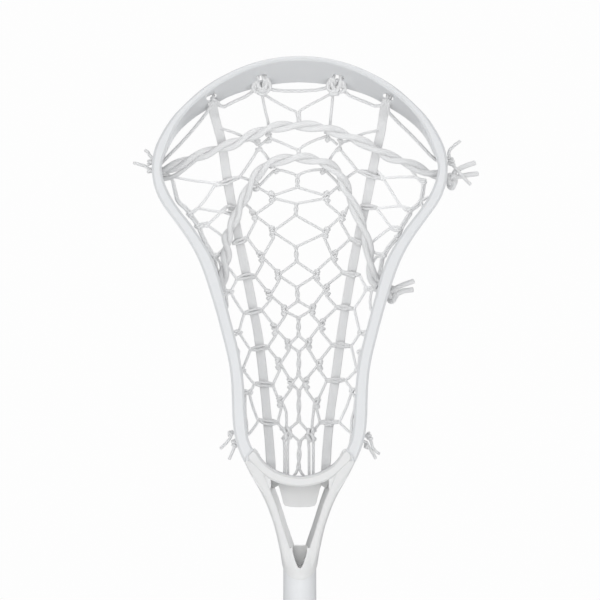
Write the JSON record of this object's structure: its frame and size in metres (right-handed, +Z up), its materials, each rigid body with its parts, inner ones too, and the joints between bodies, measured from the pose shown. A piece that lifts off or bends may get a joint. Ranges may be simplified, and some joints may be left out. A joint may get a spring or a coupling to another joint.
{
  "type": "lacrosse stick",
  "caption": "Field lacrosse stick with a spoon-shaped open head, laced cord pocket, forked throat and a slim straight handle with a rubber end cap.",
  "frame": {"origin": "centre of the flat butt of the end cap", "axes": "+Z up the handle to the tip of the scoop; -Y is the way the open face of the head looks; +X is to the right when the open face is looked at"},
  "size_m": [0.213, 0.0689, 1.0881],
  "materials": {
    "head_plastic": "moulded nylon, cool white, satin",
    "throat_plastic": "moulded nylon, warm white, satin",
    "handle_composite": "painted composite tube, cool white",
    "cap_rubber": "matt rubber, light grey",
    "screw_steel": "zinc plated",
    "stop_foam": "closed-cell foam",
    "runner_webbing": "flat leather-like thong, off white",
    "shooter_cord": "braided cord, two strands twisted",
    "cord": "braided nylon cord"
  },
  "bodies": {
    "head": {"handle": "handle_composite", "end_cap": "cap_rubber", "head_screw": "screw_steel", "throat_yoke": "throat_plastic", "head_frame": "head_plastic", "ball_stop_pad": "stop_foam", "top_string": "cord", "string_tie_upper_left": "cord", "string_tie_upper_right": "cord", "shooting_tie_upper_right": "shooter_cord", "shooting_tie_lower_right": "shooter_cord", "string_tie_lower_left": "cord", "string_tie_lower_right": "cord"},
    "pocket": {"runner_left": "runner_webbing", "runner_right": "runner_webbing", "shooting_string_upper": "shooter_cord", "shooting_string_lower": "shooter_cord", "crosslace_centre": "cord", "sidewall_string_left": "cord", "sidewall_string_right": "cord", "side_lacing_left": "cord", "side_lacing_right": "cord"}
  },
  "joints": [
    {"name": "pocket_shift", "type": "slide", "parent": "head", "child": "pocket", "axis": [0, 1, 0], "range_m": [-0.024, 0.006]}
  ]
}
